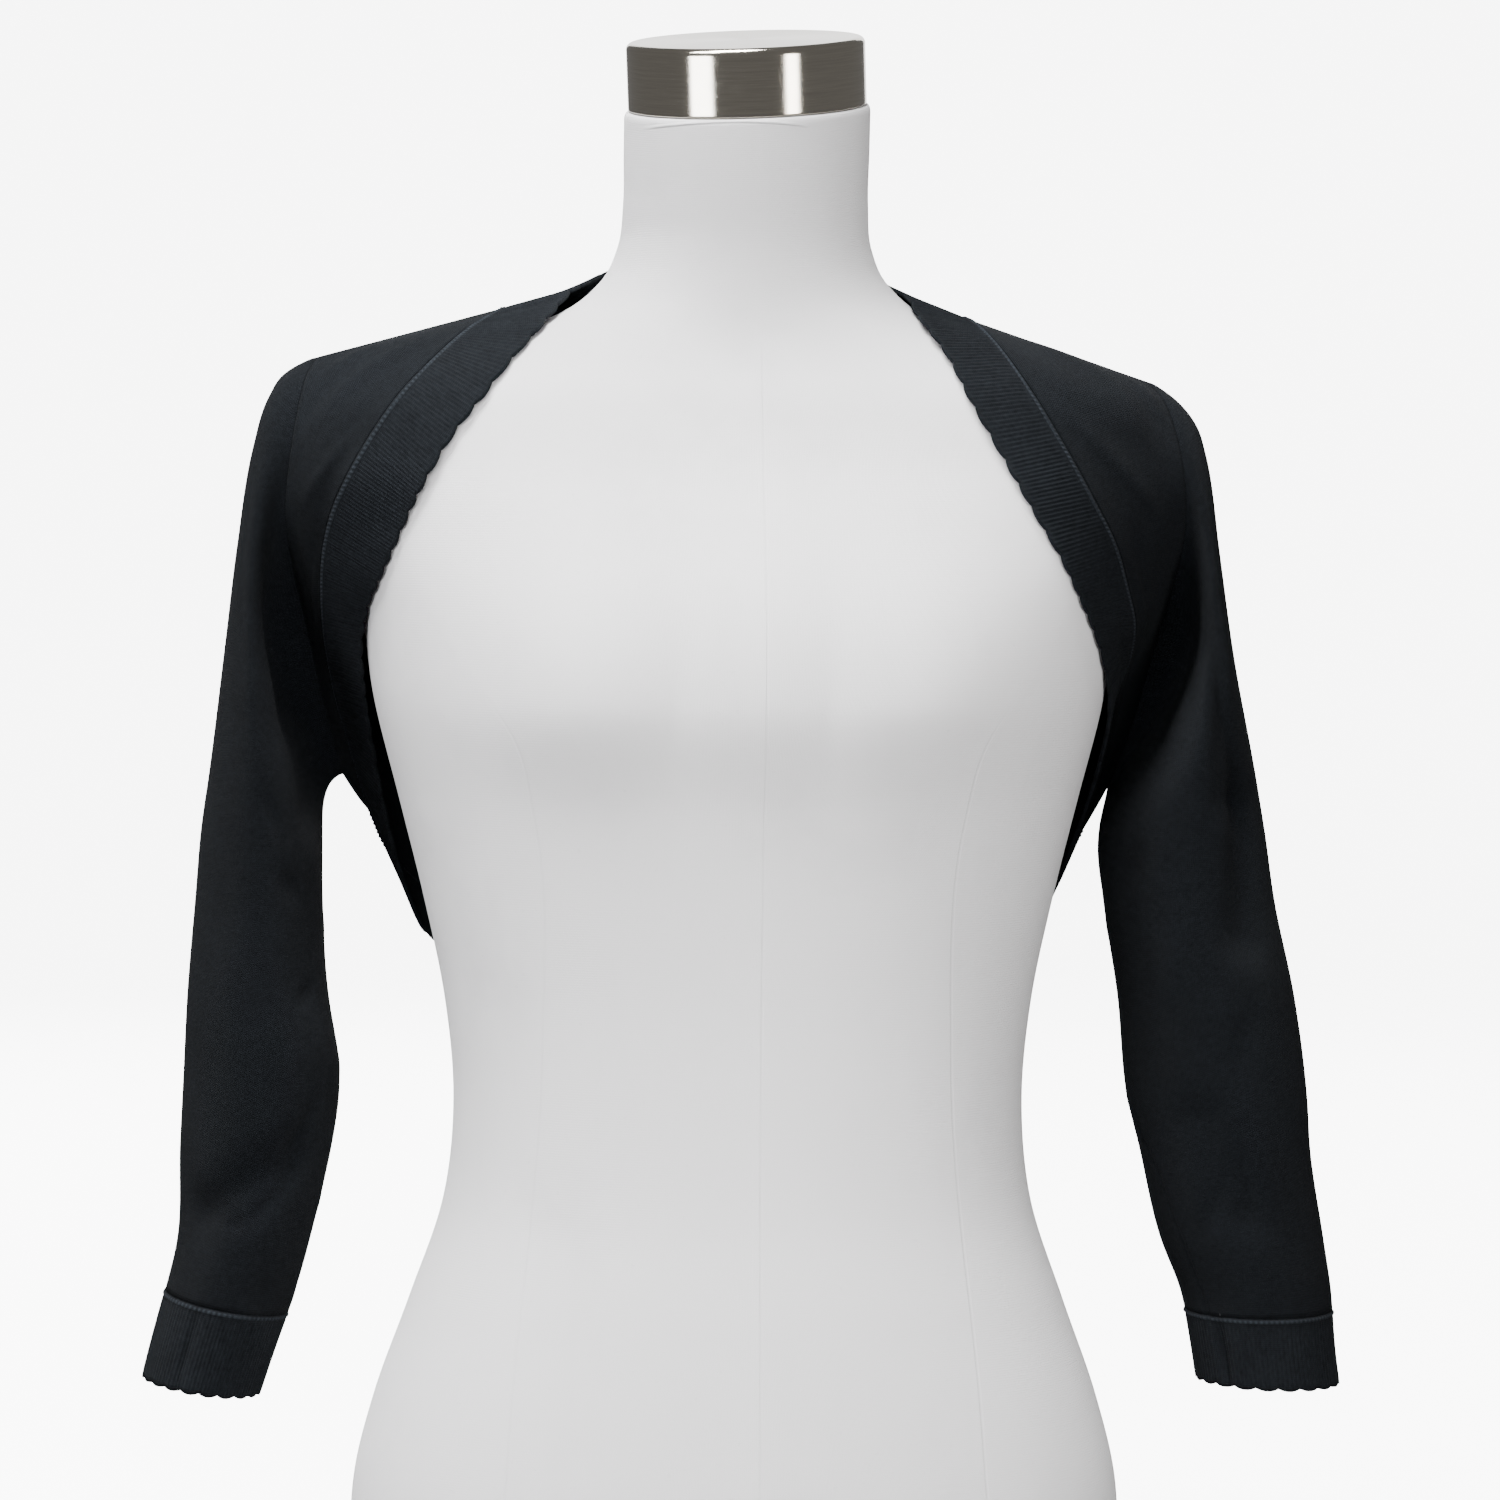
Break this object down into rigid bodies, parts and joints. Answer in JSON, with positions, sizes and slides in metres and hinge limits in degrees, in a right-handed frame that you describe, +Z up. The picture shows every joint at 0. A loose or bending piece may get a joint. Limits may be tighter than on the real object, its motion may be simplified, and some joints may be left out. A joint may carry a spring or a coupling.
{
  "type": "knitted shrug on a dress form",
  "caption": "Cropped knitted shrug with empty hanging sleeves and ribbed, scalloped edges, worn by a smooth limbless dress form with a metal neck cap.",
  "frame": {"origin": "centre of the dress form's flat underside, on the surface it stands on", "axes": "+X to the wearer's left, -Y to the front of the wearer, +Z up through the neck"},
  "size_m": [0.5461, 0.2201, 0.7367],
  "materials": {
    "knit": "fine jersey knit, dyed black",
    "rib": "fine rib knit, dyed black",
    "cover": "stretched white jersey cover",
    "metal": "brushed, warm grey"
  },
  "bodies": {
    "root": {"form_body": "cover", "neck_cap": "metal", "back_panel": "knit", "front_right": "knit", "band_right": "rib", "front_left": "knit", "band_left": "rib", "sleeve_right": "knit", "cuff_right": "rib", "sleeve_left": "knit", "cuff_left": "rib"}
  },
  "joints": []
}
